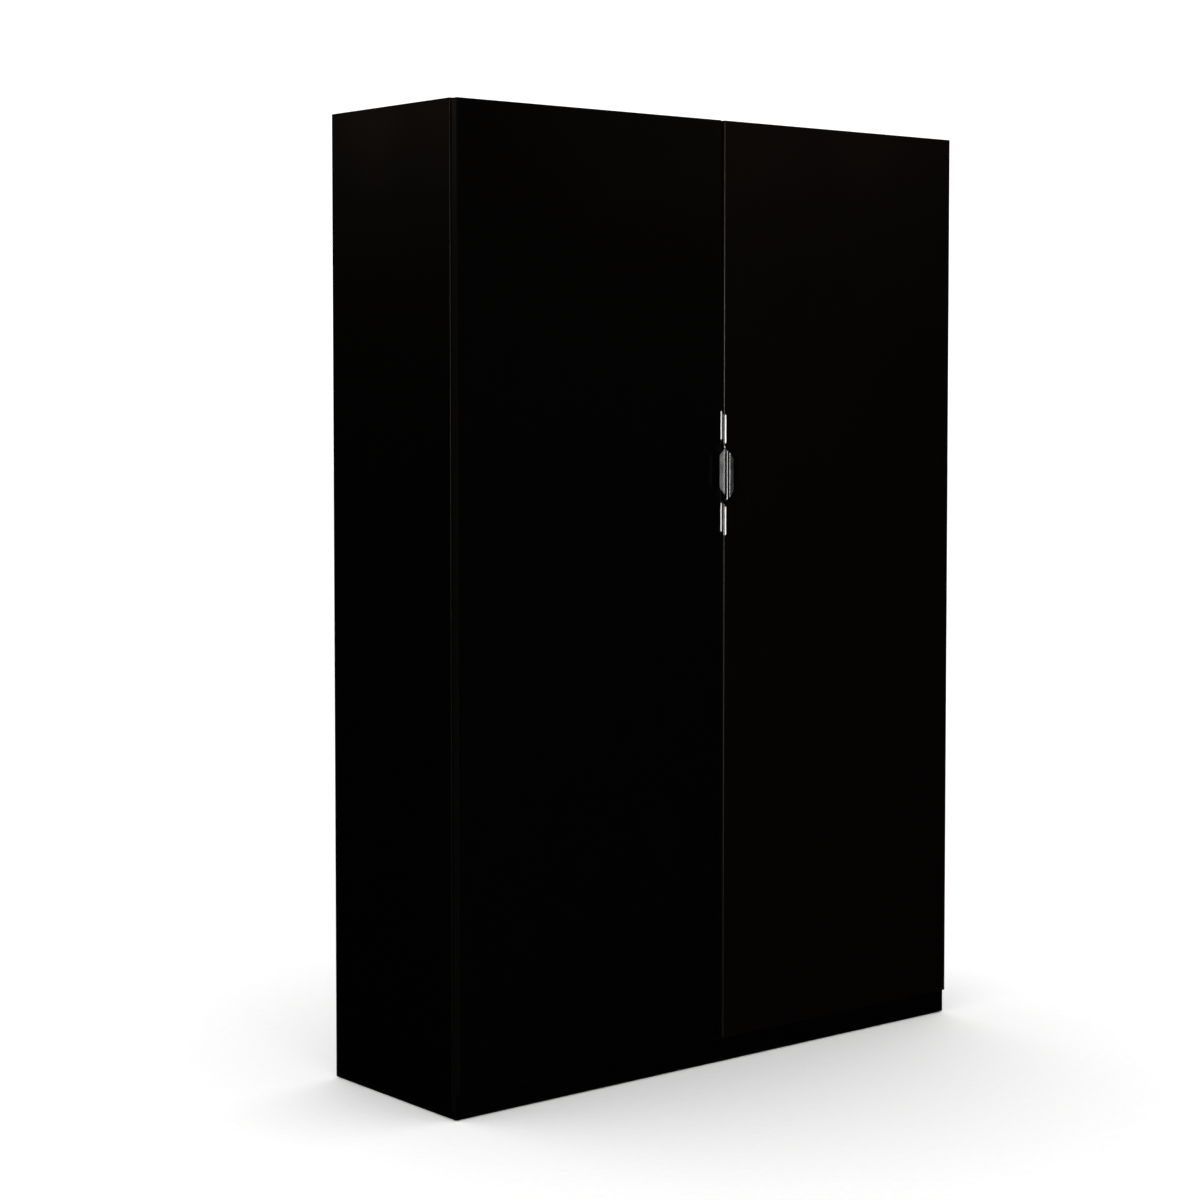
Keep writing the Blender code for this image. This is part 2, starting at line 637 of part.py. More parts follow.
def door_cutter(side, sign, handle_height):
    """Cup bores and screw pilots of one door, as one hidden object."""
    bm = bmesh.new()
    cup_x = sign * (door_outer_x - cup_from_edge)
    bore = CUP_DIAMETER / 2 + BORE_CLEARANCE
    depth = CUP_DEPTH + BORE_CLEARANCE
    turn = Matrix.Rotation(math.pi / 2, 4, "X")
    for z in hinge_heights():
        middle = Matrix.Translation((cup_x, door_back_y + (CUT_OVERRUN - depth) / 2, z))
        bmesh.ops.create_cone(
            bm, cap_ends=True, segments=32, radius1=bore, radius2=bore,
            depth=depth + CUT_OVERRUN, matrix=middle @ turn)
    pilot = SCREW_SHANK_DIAMETER / 2 + BORE_CLEARANCE
    pilot_depth = SCREW_LENGTH - HANDLE_SHEET + 2 * BORE_CLEARANCE
    pilot_x = sign * (door_inner_x + (pilot_depth - CUT_OVERRUN) / 2)
    turn = Matrix.Rotation(math.pi / 2, 4, "Y")
    for z in screw_heights(handle_height):
        middle = Matrix.Translation((pilot_x, door_front_y + DOOR_THICKNESS / 2, z))
        bmesh.ops.create_cone(
            bm, cap_ends=True, segments=16, radius1=pilot, radius2=pilot,
            depth=pilot_depth + CUT_OVERRUN, matrix=middle @ turn)
    mesh = bpy.data.meshes.new(f"{side}_door_bores")
    bm.to_mesh(mesh)
    bm.free()
    return make_cutter(f"{side}_door_bores", mesh, (0, 0, 0))


def build_bumpers(side, sign, axis):
    radius = BUMPER_DIAMETER / 2
    rim = BUMPER_HEIGHT * 0.4
    points = [
        (0, BUMPER_HEIGHT), (radius * 0.6, BUMPER_HEIGHT), (radius * 0.9, BUMPER_HEIGHT * 0.75),
        (radius, rim), (radius, 0), (0, 0),
    ]
    x = sign * (door_inner_x + BUMPER_FROM_EDGE)
    y = door_back_y + CONTACT
    heights = (("lower", PLINTH_HEIGHT + BOARD / 2), ("upper", HEIGHT - BOARD / 2))
    for place_name, z in heights:
        mesh = turned_mesh("door_bumper", points, 20)
        mesh.transform(Matrix.Rotation(-math.pi / 2, 4, "X"))
        add_object(f"{side}_{place_name}_bumper", mesh, clear_rubber, (x, y, z), axis)


def build_door(side, sign, handle_height):
    axis = bpy.data.objects.new(f"{side}_door_axis", None)
    parts.objects.link(axis)
    axis.location = (sign * hinge_x, hinge_y, 0)
    xs = sorted((sign * door_inner_x, sign * door_outer_x))
    low = Vector((xs[0], door_front_y, door_bottom_z))
    high = Vector((xs[1], door_back_y, door_top_z))
    slab = box_mesh(f"{side}_door", high - low)
    door = add_object(f"{side}_door", slab, board_black, (low + high) / 2, axis)
    add_bevel(door, DOOR_EDGE_RADIUS, 3)
    add_boolean(door, door_cutter(side, sign, handle_height), "DIFFERENCE")
    build_handle(side, sign, axis, handle_height)
    build_hinges(side, sign, axis)
    build_bumpers(side, sign, axis)


# ---------------------------------------------------------------- build
empty_scene()
parts = new_collection("two_door_wardrobe")
cutters = new_collection("cutters")

board_black = make_material("black-brown melamine board", (0.010, 0.008, 0.007), 0.42)
back_black = make_material("black fibreboard", (0.012, 0.010, 0.009), 0.7)
satin_aluminium = make_material("satin aluminium", (0.60, 0.60, 0.59), 0.34, 1.0)
nickel = make_material("nickel-plated steel", (0.50, 0.49, 0.47), 0.28, 1.0)
chrome = make_material("chromed steel", (0.62, 0.62, 0.63), 0.12, 1.0)
foot_plastic = make_material("black polypropylene", (0.02, 0.02, 0.02), 0.55)
clear_rubber = make_material("clear bumper rubber", (0.55, 0.56, 0.55), 0.4)

mounting_plate = plate_mesh()

build_side_panels()
build_top_and_bottom()
build_partition()
build_back_boards()
build_plinths()
build_shelves()
build_hanging_rail()
build_feet()
build_door("left", -1, LEFT_HANDLE_HEIGHT)
build_door("right", 1, RIGHT_HANDLE_HEIGHT)
bpy.context.view_layer.update()
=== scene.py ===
import json
import math

import bmesh
import bpy
from mathutils import Matrix, Vector

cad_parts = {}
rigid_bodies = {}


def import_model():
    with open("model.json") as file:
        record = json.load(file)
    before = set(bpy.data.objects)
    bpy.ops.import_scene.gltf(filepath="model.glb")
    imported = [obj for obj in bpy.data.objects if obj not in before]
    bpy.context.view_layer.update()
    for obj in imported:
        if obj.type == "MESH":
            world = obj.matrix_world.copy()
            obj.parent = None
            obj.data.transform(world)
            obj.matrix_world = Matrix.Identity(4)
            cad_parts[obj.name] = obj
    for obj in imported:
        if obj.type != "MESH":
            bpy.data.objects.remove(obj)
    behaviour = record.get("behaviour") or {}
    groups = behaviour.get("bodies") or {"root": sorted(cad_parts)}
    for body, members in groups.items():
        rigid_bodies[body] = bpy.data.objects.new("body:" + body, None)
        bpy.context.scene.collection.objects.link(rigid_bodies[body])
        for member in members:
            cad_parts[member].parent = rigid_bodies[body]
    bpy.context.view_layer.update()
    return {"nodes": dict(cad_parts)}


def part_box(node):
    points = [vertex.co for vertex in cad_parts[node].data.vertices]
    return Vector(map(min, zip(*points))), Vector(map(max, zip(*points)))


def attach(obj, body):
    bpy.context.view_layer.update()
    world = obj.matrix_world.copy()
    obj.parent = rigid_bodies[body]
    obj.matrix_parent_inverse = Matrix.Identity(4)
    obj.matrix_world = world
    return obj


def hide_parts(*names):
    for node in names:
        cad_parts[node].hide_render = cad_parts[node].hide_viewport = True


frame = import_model()
print("wardrobe: frame loaded,", len(frame["nodes"]), "nodes")

carcass = "carcass"
leaves = {"left": "left_door_leaf", "right": "right_door_leaf"}
signs = {"left": -1, "right": 1}
hingePlaces = ("lowest", "lower", "upper", "highest")


# Working with pieces

def activate(*pieces):
    if bpy.context.object and bpy.context.object.mode != "OBJECT":
        bpy.ops.object.mode_set(mode="OBJECT")
    bpy.ops.object.select_all(action="DESELECT")
    for piece in pieces:
        piece.select_set(True)
    if pieces:
        bpy.context.view_layer.objects.active = pieces[0]


def settle(piece, name):
    # the place goes into the mesh, the object stays at the origin
    activate(piece)
    bpy.ops.object.transform_apply(location=True, rotation=True, scale=True)
    piece.name = name
    piece.data.name = name
    return piece


def addBlock(name, low, high):
    activate()
    low, high = Vector(low), Vector(high)
    bpy.ops.mesh.primitive_cube_add(size=1, location=(low + high) / 2)
    bpy.context.object.scale = high - low
    return settle(bpy.context.object, name)


def addRound(name, radius, depth, middle, axis="Z", sides=32):
    activate()
    turns = {"X": (0, math.pi / 2, 0), "Y": (math.pi / 2, 0, 0), "Z": (0, 0, 0)}
    bpy.ops.mesh.primitive_cylinder_add(vertices=sides, radius=radius, depth=depth,
                                        location=middle, rotation=turns[axis])
    return settle(bpy.context.object, name)


def copyPiece(piece, name, offset=(0, 0, 0), mirrored=False):
    copy = piece.copy()
    copy.data = piece.data.copy()
    copy.name = name
    copy.data.name = name
    bpy.context.scene.collection.objects.link(copy)
    copy.data.transform(Matrix.Translation(offset))
    if mirrored:
        copy.data.transform(Matrix.Scale(-1, 4, (1, 0, 0)))
        copy.data.flip_normals()
    return copy


def copyOfNode(node, name):
    # a merged copy of a CAD solid, ready for shaping
    copy = bpy.data.objects.new(name, frame["nodes"][node].data.copy())
    bpy.context.scene.collection.objects.link(copy)
    copy.data.materials.clear()
    activate(copy)
    bpy.ops.object.mode_set(mode="EDIT")
    bpy.ops.mesh.select_all(action="SELECT")
    bpy.ops.mesh.remove_doubles(threshold=0.00001)
    bpy.ops.mesh.dissolve_limited(angle_limit=math.radians(2))
    bpy.ops.object.mode_set(mode="OBJECT")
    return copy


def join(name, pieces):
    activate(*pieces)
    bpy.ops.object.join()
    return settle(bpy.context.object, name)


def near(first, second, reach=0.00001):
    return abs(first - second) < reach


def selectParts(piece, kind, wanted):
    # kind is "edges" or "verts"
    bpy.ops.mesh.select_all(action="DESELECT")
    bpy.ops.mesh.select_mode(type="EDGE" if kind == "edges" else "VERT")
    bm = bmesh.from_edit_mesh(piece.data)
    for part in getattr(bm, kind):
        part.select_set(wanted(part))
    bmesh.update_edit_mesh(piece.data)


def middleOf(edge):
    return (edge.verts[0].co + edge.verts[1].co) / 2


def cutAway(piece, cutters):
    cutter = join("cutter", cutters)
    cut = piece.modifiers.new("cut", "BOOLEAN")
    cut.operation = "DIFFERENCE"
    cut.solver = "EXACT"
    cut.use_self = len(cutters) == 2      # a pair may cross, as the slots of a recess do
    cut.object = cutter
    activate(piece)
    bpy.ops.object.modifier_apply(modifier=cut.name)
    bpy.data.objects.remove(cutter, do_unlink=True)


def softenEdges(piece, width, segments=2, angle=50):
    bevel = piece.modifiers.new("soften", "BEVEL")
    bevel.width = width
    bevel.segments = segments
    bevel.limit_method = "ANGLE"
    bevel.angle_limit = math.radians(angle)
    activate(piece)
    bpy.ops.object.modifier_apply(modifier=bevel.name)


def smooth(piece, angle=40):
    # rounds the shading of the eased edges, and keeps the big flats flat
    activate(piece)
    bpy.ops.object.shade_smooth_by_angle(angle=math.radians(angle))
    weighted = piece.modifiers.new("flats", "WEIGHTED_NORMAL")
    weighted.keep_sharp = True
    weighted.weight = 100
    bpy.ops.object.modifier_apply(modifier=weighted.name)


metalPieces = bpy.data.collections.new("metalPieces")      # what the lamps for metal shine on
boardPieces = bpy.data.collections.new("boardPieces")      # everything else of the wardrobe
metalSlots = ("handle_metal", "hinge_steel", "rail_chrome")


def coat(piece, finish):
    piece.data.materials.clear()
    piece.data.materials.append(finishes[finish])


def place(piece, body, slot, nodes=()):
    if nodes:
        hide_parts(*nodes)
    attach(piece, body)
    (metalPieces if slot in metalSlots else boardPieces).objects.link(piece)


# Finishes

def hexColour(code):
    channels = [int(code[i:i + 2], 16) / 255 for i in (1, 3, 5)]
    return tuple(c / 12.92 if c <= 0.04045 else ((c + 0.055) / 1.055) ** 2.4 for c in channels) + (1.0,)


def setInputs(tree, node, inputs):
    # a node is linked by its first output, a socket by itself, anything else is a plain value
    for name, value in inputs.items():
        if isinstance(value, bpy.types.Node):
            value = value.outputs[0]
        if isinstance(value, bpy.types.NodeSocket):
            tree.links.new(value, node.inputs[name])
        else:
            node.inputs[name].default_value = value


def addNode(tree, kind, inputs, stops=(), **settings):
    node = tree.nodes.new(kind)
    for name, value in settings.items():
        setattr(node, name, value)
    for number, (position, code) in enumerate(stops):
        node.color_ramp.elements[number].position = position
        node.color_ramp.elements[number].color = hexColour(code)
    setInputs(tree, node, inputs)
    return node


def newFinish(name):
    material = bpy.data.materials.new(name)
    material.use_nodes = True
    tree = material.node_tree
    coordinates = addNode(tree, "ShaderNodeTexCoord", {})
    return material, tree, tree.nodes["Principled BSDF"], coordinates.outputs["Object"]


# fine: the share of the finer steps; of two: the span of two noises added up
noise = {"fine": 0.55, "low": 0.3, "high": 0.7, "lowOfTwo": 0.7, "highOfTwo": 1.3}

boardLook = {
    "colours": ((0.35, "#020101"), (0.65, "#050302")),      # each with its level in the pattern
    "poreWidth": 0.0009, "poreLength": 0.045,      # real pores are 0.2 mm wide, drawn coarser to show
    "poreDepth": 0.00006, "poreStrength": 0.5, "cloudSize": 0.25,
    "smoothest": 0.30, "roughest": 0.42, "specular": 0.2,
}


# Melamine-faced chipboard, pressed against a satin plate with a fine wood pore:
# near-black brown, an even satin sheen broken by short fine pores along the grain.
def melamine(name, along):
    look = boardLook
    material, tree, shader, coordinates = newFinish(name)
    scale = [1 / look["poreWidth"]] * 3
    scale["XYZ".index(along)] = 1 / look["poreLength"]
    grain = addNode(tree, "ShaderNodeMapping", {"Vector": coordinates, "Scale": scale})
    pores = addNode(tree, "ShaderNodeTexNoise", {
        "Vector": grain, "Scale": 1.0, "Detail": 3.0, "Roughness": noise["fine"]})
    clouds = addNode(tree, "ShaderNodeTexNoise", {
        "Vector": coordinates, "Scale": 1 / look["cloudSize"], "Detail": 2.0, "Roughness": noise["fine"]})
    both = addNode(tree, "ShaderNodeMath", {0: pores, 1: clouds}, operation="ADD")
    setInputs(tree, shader, {
        "Base Color": addNode(tree, "ShaderNodeValToRGB", {"Fac": pores}, stops=look["colours"]),
        "Roughness": addNode(tree, "ShaderNodeMapRange", {
            "Value": both, "From Min": noise["lowOfTwo"], "From Max": noise["highOfTwo"],
            "To Min": look["smoothest"], "To Max": look["roughest"]}),
        "Specular IOR Level": look["specular"],
        "Normal": addNode(tree, "ShaderNodeBump", {
            "Height": pores, "Distance": look["poreDepth"], "Strength": look["poreStrength"]}),
    })
    return material


bandLookWithPaintedHighlight = {
    # the band's own black-brown, painted a little lighter than the board faces: a painted highlight along
    # the edges
    "colours": ((0.35, "#060504"), (0.65, "#0a0807")),
    "chatterSize": 0.002, "chatterDepth": 0.00003, "chatterStrength": 0.4,
    "smoothest": 0.26, "roughest": 0.34, "specular": 0.2,
}


# ABS edge band, extruded and trimmed: black-brown without pores, painted a little lighter than the faces as
# a highlight along every edge, a little glossier, with the faint chatter of the trimming cutter.
def edgeBandWithPaintedHighlight():
    look = bandLookWithPaintedHighlight
    material, tree, shader, coordinates = newFinish("extruded ABS edge band with painted edge highlight")
    chatter = addNode(tree, "ShaderNodeTexNoise", {
        "Vector": coordinates, "Scale": 1 / look["chatterSize"], "Detail": 2.0, "Roughness": noise["fine"]})
    setInputs(tree, shader, {
        "Base Color": addNode(tree, "ShaderNodeValToRGB", {"Fac": chatter}, stops=look["colours"]),
        "Roughness": addNode(tree, "ShaderNodeMapRange", {
            "Value": chatter, "From Min": noise["low"], "From Max": noise["high"],
            "To Min": look["smoothest"], "To Max": look["roughest"]}),
        "Specular IOR Level": look["specular"],
        "Normal": addNode(tree, "ShaderNodeBump", {
            "Height": chatter, "Distance": look["chatterDepth"], "Strength": look["chatterStrength"]}),
    })
    return material


coreLook = {
    "colours": ((0.1, "#8c6a44"), (0.8, "#4f3a24")),
    "flakeScale": (600, 600, 900),      # flakes of 1.1 to 1.7 mm
    "flakeDepth": 0.0003, "flakeStrength": 0.7, "roughness": 0.85,
}


# Chipboard core where a hole is drilled: coarse brown flakes, quite matt.
def chipboard():
    look = coreLook
    material, tree, shader, coordinates = newFinish("drilled chipboard core")
    stretched = addNode(tree, "ShaderNodeMapping", {"Vector": coordinates, "Scale": look["flakeScale"]})
    flakes = addNode(tree, "ShaderNodeTexVoronoi", {"Vector": stretched, "Scale": 1.0})
    setInputs(tree, shader, {
        "Base Color": addNode(tree, "ShaderNodeValToRGB", {"Fac": flakes}, stops=look["colours"]),
        "Roughness": look["roughness"],
        "Normal": addNode(tree, "ShaderNodeBump", {
            "Height": flakes, "Distance": look["flakeDepth"], "Strength": look["flakeStrength"]}),
    })
    return material


backLook = {
    "colours": ((0.5, "#060504"), (0.8, "#0b0907")),
    "fibreSize": 0.0035, "fibreDepth": 0.0002, "fibreStrength": 0.5, "fine": 0.7,
    "cloudSize": 0.12, "cloudShare": 0.3, "smoothest": 0.6, "roughest": 0.82,
}


# Hard fibreboard, pressed and lacquered dark: fine tangled fibres and a dull surface.
def fibreboard():
    look = backLook
    material, tree, shader, coordinates = newFinish("lacquered hard fibreboard")
    fibres = addNode(tree, "ShaderNodeTexNoise", {
        "Vector": coordinates, "Scale": 1 / look["fibreSize"], "Detail": 8.0, "Roughness": look["fine"]})
    clouds = addNode(tree, "ShaderNodeTexNoise", {
        "Vector": coordinates, "Scale": 1 / look["cloudSize"], "Detail": 3.0, "Roughness": noise["fine"]})
    both = addNode(tree, "ShaderNodeMath", {
        0: clouds, 1: look["cloudShare"], 2: fibres}, operation="MULTIPLY_ADD")
    setInputs(tree, shader, {
        "Base Color": addNode(tree, "ShaderNodeValToRGB", {"Fac": both}, stops=look["colours"]),
        "Roughness": addNode(tree, "ShaderNodeMapRange", {
            "Value": fibres, "From Min": noise["low"], "From Max": noise["high"],
            "To Min": look["smoothest"], "To Max": look["roughest"]}),
        "Normal": addNode(tree, "ShaderNodeBump", {
            "Height": fibres, "Distance": look["fibreDepth"], "Strength": look["fibreStrength"]}),
    })
    return material


metalLook = {"start": 0.35, "end": 0.65, "patchSize": 0.02, "scratchStrength": 0.5}


# Plated and anodised metals share one recipe: a metal base with lengthways or all-round
# micro scratches that spread the highlight, and slow patches in the gloss.
def metal(name, dark, light, roughness, scratch, depth):
    look = metalLook
    material, tree, shader, coordinates = newFinish(name)
    drawn = addNode(tree, "ShaderNodeMapping", {
        "Vector": coordinates, "Scale": [1 / size for size in scratch]})
    scratches = addNode(tree, "ShaderNodeTexNoise", {
        "Vector": drawn, "Scale": 1.0, "Detail": 3.0, "Roughness": noise["fine"]})
    patches = addNode(tree, "ShaderNodeTexNoise", {
        "Vector": coordinates, "Scale": 1 / look["patchSize"], "Detail": 2.0, "Roughness": noise["fine"]})
    both = addNode(tree, "ShaderNodeMath", {0: scratches, 1: patches}, operation="ADD")
    stops = ((look["start"], dark), (look["end"], light))
    setInputs(tree, shader, {
        "Metallic": 1.0,
        "Base Color": addNode(tree, "ShaderNodeValToRGB", {"Fac": patches}, stops=stops),
        "Roughness": addNode(tree, "ShaderNodeMapRange", {
            "Value": both, "From Min": noise["lowOfTwo"], "From Max": noise["highOfTwo"],
            "To Min": roughness[0], "To Max": roughness[1]}),
        "Normal": addNode(tree, "ShaderNodeBump", {
            "Height": scratches, "Distance": depth, "Strength": look["scratchStrength"]}),
    })
    return material


plasticLook = {"start": 0.35, "end": 0.65, "sparkSize": 0.0006, "sparkDepth": 0.00005, "sparkStrength": 0.5}


# Moulded plastics: a fine spark-eroded grain that breaks the highlight into a soft glow.
def mouldedPlastic(name, dark, light, roughness, transmission=0.0):
    look = plasticLook
    material, tree, shader, coordinates = newFinish(name)
    sparks = addNode(tree, "ShaderNodeTexNoise", {
        "Vector": coordinates, "Scale": 1 / look["sparkSize"], "Detail": 3.0, "Roughness": noise["fine"]})
    stops = ((look["start"], dark), (look["end"], light))
    setInputs(tree, shader, {
        "Base Color": addNode(tree, "ShaderNodeValToRGB", {"Fac": sparks}, stops=stops),
        "Roughness": addNode(tree, "ShaderNodeMapRange", {
            "Value": sparks, "From Min": noise["low"], "From Max": noise["high"],
            "To Min": roughness[0], "To Max": roughness[1]}),
        "Transmission Weight": transmission,
        "Normal": addNode(tree, "ShaderNodeBump", {
            "Height": sparks, "Distance": look["sparkDepth"], "Strength": look["sparkStrength"]}),
    })
    return material


finishes = {
    "upright": melamine("black-brown melamine, upright grain", "Z"),
    "lengthways": melamine("black-brown melamine, lengthways grain", "X"),
    "band": edgeBandWithPaintedHighlight(),
    "core": chipboard(),
    "back": fibreboard(),
    # metals: darker and lighter colour, roughness, size of the scratches along x, y and z, their depth
    "aluminium": metal("satin anodised aluminium", "#b4b4b3", "#c3c3c2",
                       (0.16, 0.26), (0.0006, 0.0006, 0.03), 0.00002),
    "nickel": metal("nickel-plated pressed steel", "#9d9a94", "#b0ada7",
                    (0.2, 0.34), (0.001, 0.001, 0.001), 0.00001),
    "chrome": metal("chromed drawn steel tube", "#c3c6ca", "#d2d4d7",
                    (0.05, 0.14), (0.002, 0.02, 0.002), 0.000004),
    "foot": mouldedPlastic("moulded black polypropylene", "#0d0d0d", "#191919", (0.45, 0.62)),
    "cap": mouldedPlastic("moulded black-brown cover cap", "#120e0b", "#1a1511", (0.4, 0.55)),
    "bumper": mouldedPlastic("clear polyurethane bumper", "#b9bab4", "#c9cac5", (0.18, 0.3), 0.55),
}
print("wardrobe: finishes made,", len(finishes))


# Boards

boards = {
    "arris": 0.0010, "segments": 3, "bandThickness": 0.0015, "smoothAngle": 60,
    "upright": ("left_side_panel", "right_side_panel", "centre_partition"),
    "lengthways": ("top_panel", "bottom_panel", "front_plinth", "rear_plinth", "hat_shelf",
                   "right_shelf_1", "right_shelf_2", "right_shelf_3", "right_shelf_4"),
}
pinHoles = {
    "diameter": 0.005, "depth": 0.012, "overcut": 0.001, "sides": 12,
    "pitch": 0.032, "each": 5, "fromEdge": 0.037,
    "looseShelves": ("right_shelf_1", "right_shelf_3", "right_shelf_4"),
}


def finishBoard(piece, grain, low, high):
    # faces take the melamine, edges the band, drilled walls the raw core
    across = min(range(3), key=lambda i: high[i] - low[i])
    others = [i for i in range(3) if i != across]
    for code in (grain, "band", "core"):
        piece.data.materials.append(finishes[code])
    for polygon in piece.data.polygons:
        middle = polygon.center
        inset = min(min(middle[i] - low[i], high[i] - middle[i]) for i in others)
        onFace = near(min(middle[across] - low[across], high[across] - middle[across]), 0, 0.00005)
        polygon.material_index = 0 if onFace else 1 if inset < boards["bandThickness"] else 2


def makeBoard(name, node, grain, body, cutters=(), arris=None):
    low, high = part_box(node)
    piece = addBlock(name, low, high)
    softenEdges(piece, arris or boards["arris"], boards["segments"])
    if cutters:
        cutAway(piece, cutters)
    finishBoard(piece, grain, low, high)
    smooth(piece, boards["smoothAngle"])
    place(piece, body, "board", [node])


def shelfPinRows():
    # pin heights and depths: a group of holes round each loose shelf
    rows = []
    for node in pinHoles["looseShelves"]:
        low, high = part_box(node)
        for y in (low.y + pinHoles["fromEdge"], high.y - pinHoles["fromEdge"]):
            rows.append((y, low.z - pinHoles["diameter"] / 2))
    return rows


def pinHoleCutters(faceX, inward):
    cutters = []
    radius = pinHoles["diameter"] / 2
    depth = pinHoles["depth"] + pinHoles["overcut"]
    half = pinHoles["each"] // 2
    for y, z in shelfPinRows():
        for step in range(-half, half + 1):
            middle = (faceX - inward * pinHoles["depth"] / 2, y, z + step * pinHoles["pitch"])
            cutters.append(addRound("hole", radius, depth, middle, "X", pinHoles["sides"]))
    return cutters


for node in boards["upright"] + boards["lengthways"]:
    grain = "upright" if node in boards["upright"] else "lengthways"
    cutters = ()
    if node == "centre_partition":
        cutters = pinHoleCutters(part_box(node)[1].x, 1)
    elif node == "right_side_panel":
        cutters = pinHoleCutters(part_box(node)[0].x, -1)
    makeBoard(node + "Board", node, grain, carcass, cutters)
print("wardrobe: carcass boards made")


# Doors

doors = {
    "arris": 0.0018, "boreClearance": 0.0003, "boreDepth": 0.0133, "boreSides": 48,
    "pilotDiameter": 0.0041, "pilotSides": 16, "overcut": 0.001,
}


def makeDoor(side):
    node = side + "_door"
    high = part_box(node)[1]
    cutters = []
    for spot in hingePlaces:
        cupLow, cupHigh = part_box(f"{side}_{spot}_hinge_cup")
        middle = (cupLow + cupHigh) / 2
        middle.y = high.y - doors["boreDepth"] / 2 + doors["overcut"]
        radius = (cupHigh.x - cupLow.x) / 2 + doors["boreClearance"]
        depth = doors["boreDepth"] + 2 * doors["overcut"]
        cutters.append(addRound("bore", radius, depth, middle, "Y", doors["boreSides"]))
    for spot in ("lower", "upper"):
        screwLow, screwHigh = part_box(f"{side}_{spot}_handle_screw")
        middle = (screwLow + screwHigh) / 2
        radius = doors["pilotDiameter"] / 2
        depth = screwHigh.x - screwLow.x + 2 * doors["overcut"]
        cutters.append(addRound("pilot", radius, depth, middle, "X", doors["pilotSides"]))
    makeBoard(side + "Door", node, "upright", leaves[side], cutters, doors["arris"])


for side in signs:
    makeDoor(side)
print("wardrobe: doors made")


# Back boards: held 0.6 mm inside the rear edges, so that the nail heads stay within the depth

backs = {
    "thinner": 0.0006, "arris": 0.0003, "nailRadius": 0.0024, "nailPitch": 0.12,
    "nailFromEdge": 0.009, "nailFromSeam": 0.008,
    "nailRise": 0.9,      # how much of the room behind the board a head takes up
}


def makeBack(side):
    node = side + "_back_board"
    low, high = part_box(node)
    high.y -= backs["thinner"]
    piece = addBlock(side + "BackBoard", low, high)
    softenEdges(piece, backs["arris"], 1)
    smooth(piece, boards["smoothAngle"])
    coat(piece, "back")
    place(piece, carcass, "back_board", [node])
    return low, high


def nailHead(spot):
    activate()
    bpy.ops.mesh.primitive_uv_sphere_add(segments=12, ring_count=6,
                                         radius=backs["nailRadius"], location=spot)
    nail = bpy.context.object
    nail.scale.y = backs["thinner"] * backs["nailRise"] / backs["nailRadius"]
    return settle(nail, "nail")


def nailSpots(side, low, high):
    sign = signs[side]
    inset = backs["nailFromEdge"]
    seamX = low.x if sign > 0 else high.x
    spots = []
    span = high.z - low.z - 2 * inset
    count = int(span / backs["nailPitch"])
    for step in range(count + 1):
        spots.append((seamX + sign * backs["nailFromSeam"], low.z + inset + span * step / count))
    # the board is also nailed to the carcass and to the shelf that is fixed
    shelfLow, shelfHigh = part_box("hat_shelf" if side == "left" else "right_shelf_2")
    span = high.x - low.x - 2 * inset
    count = int(span / backs["nailPitch"])
    for z in (low.z + inset, high.z - inset, (shelfLow.z + shelfHigh.z) / 2):
        for step in range(1, count + 1):
            spots.append((seamX + sign * (inset + span * step / count), z))
    return spots


nails = []
for side in signs:
    low, high = makeBack(side)
    for x, z in nailSpots(side, low, high):
        if not nails:
            nails.append(nailHead((x, high.y, z)))
            firstSpot = (x, z)
        else:
            nails.append(copyPiece(nails[0], "nail", (x - firstSpot[0], 0, z - firstSpot[1])))
nailRows = join("backNails", nails)
smooth(nailRows, boards["smoothAngle"])
coat(nailRows, "nickel")
place(nailRows, carcass, "hinge_steel")
print("wardrobe: back boards made")


# Edge handles: an L strip on the door's corner with a trapezoid tab, bent over its own door

handle = {
    "sheet": 0.002, "gap": 0.0003, "flange": 0.0035, "reach": 0.0127, "bend": 0.005, "bendSteps": 8,
    "lip": 0.0105, "lipReturn": 8, "rootLength": 0.122, "tipLength": 0.070, "relief": 0.006,
    "cornerRadius": 0.0022, "foldRadius": 0.0013, "rimRadius": 0.00045,
    "sinkClearance": 0.0003, "sinkDepth": 0.0023, "sinkIn": 0.00092,
    "sinkMouth": 1.12, "sinkFloor": 0.5,      # in radii of the screw's head
}


def tabProfile():
    # middle of the sheet from the strip to the tip of the tab: (across, out from the door)
    back = math.radians(handle["lipReturn"])
    start = handle["reach"] - handle["bend"]
    points = [(0, handle["gap"] + handle["sheet"] / 2)]
    for step in range(handle["bendSteps"] + 1):
        turn = (math.pi / 2 + back) * step / handle["bendSteps"]
        points.append((handle["bend"] * (1 - math.cos(turn)), start + handle["bend"] * math.sin(turn)))
    across, out = points[-1]
    points.append((across + handle["lip"] * math.cos(back), out - handle["lip"] * math.sin(back)))
    return points


